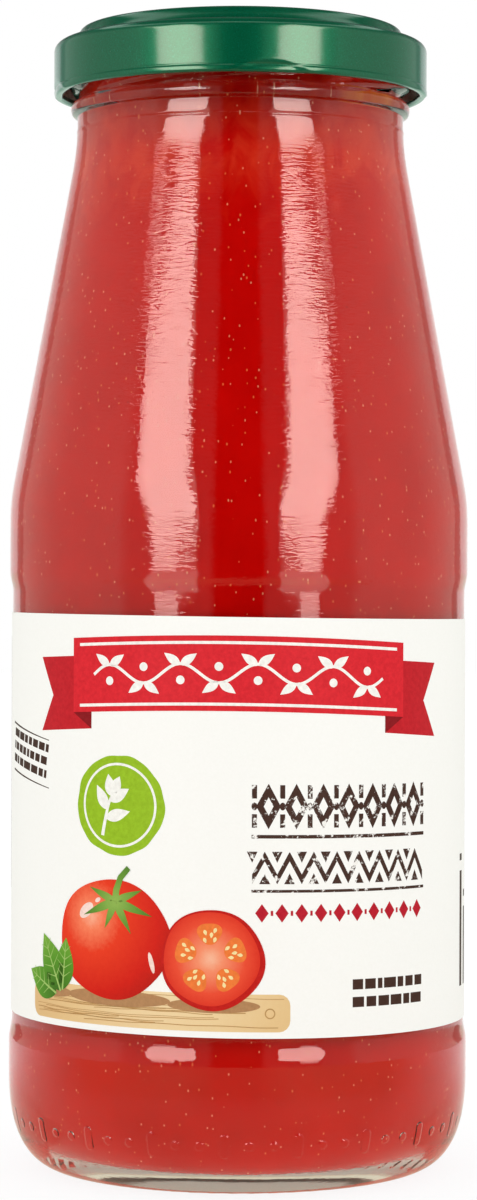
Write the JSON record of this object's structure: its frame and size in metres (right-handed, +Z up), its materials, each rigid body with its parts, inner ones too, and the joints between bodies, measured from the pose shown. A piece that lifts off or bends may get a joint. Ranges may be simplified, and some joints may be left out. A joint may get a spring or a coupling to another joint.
{
  "type": "passata bottle",
  "caption": "Clear glass bottle of tomato passata with a wide neck, a green twist-off lid and a wrapped paper label.",
  "frame": {"origin": "middle of the bearing ring, on the surface the bottle stands on", "axes": "+Z up along the bottle's axis to the lid; the front of the label faces -Y; +X is to the right seen from the front"},
  "size_m": [0.0684, 0.0684, 0.1696],
  "materials": {
    "clear_glass": "clear soda-lime container glass, fire-polished gloss",
    "tomato_passata": "smooth deep red sieved tomato with fine pale and orange flecks, seen wet against the glass",
    "label_paper": null,
    "green_lacquer": "semi-gloss green lacquer with a fine metallic sparkle on tinplate, silver inside"
  },
  "bodies": {
    "root": {"bottle": "clear_glass", "passata": "tomato_passata", "label": "label_paper", "lid": "green_lacquer"}
  },
  "joints": []
}
